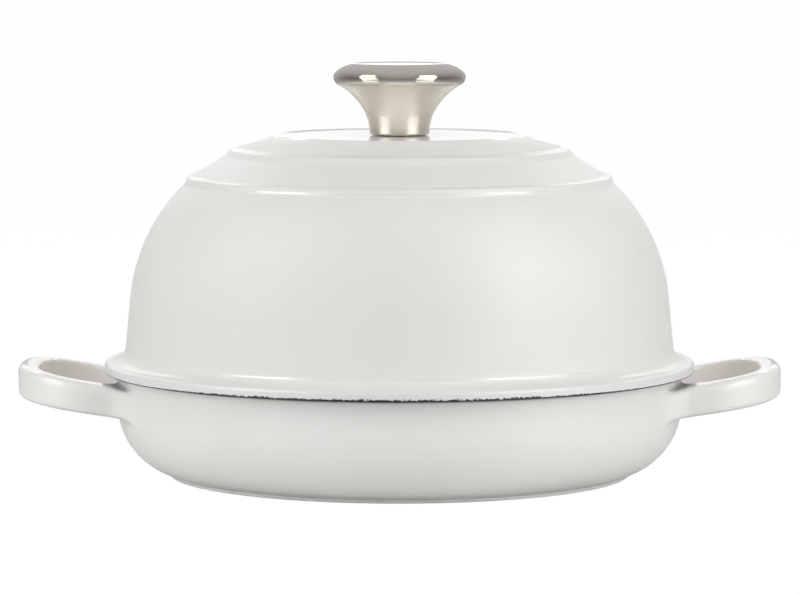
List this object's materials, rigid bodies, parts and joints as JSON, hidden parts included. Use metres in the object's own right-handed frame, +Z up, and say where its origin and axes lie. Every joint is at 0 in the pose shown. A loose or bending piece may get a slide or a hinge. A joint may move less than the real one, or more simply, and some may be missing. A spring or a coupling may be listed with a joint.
{
  "type": "covered bread oven",
  "caption": "Shallow round baking pan of enamelled cast iron with cast side loops and a stepped dome lid that is lifted by a flared steel knob.",
  "frame": {"origin": "middle of the foot's underside, on the surface that the pan stands on", "axes": "+Z up along the axis of pan, lid and knob; +X towards one side loop; the pictured side faces -Y"},
  "size_m": [0.329, 0.2544, 0.1777],
  "materials": {
    "white_enamel": "glossy white enamel outside, satin black enamel inside",
    "brushed_steel": "turned and brushed stainless steel",
    "polished_steel": "polished stainless steel",
    "plain_steel": "plain machined steel"
  },
  "bodies": {
    "base": {"base_pan": "white_enamel"},
    "lid": {"dome_lid": "white_enamel", "knob_body": "brushed_steel", "knob_cap": "polished_steel", "knob_bush": "plain_steel", "knob_screw": "plain_steel", "screw_washer": "plain_steel"}
  },
  "joints": [
    {"name": "lid_lift", "type": "slide", "parent": "base", "child": "lid", "axis": [0, 0, 1], "range_m": [0, 0.16]}
  ]
}
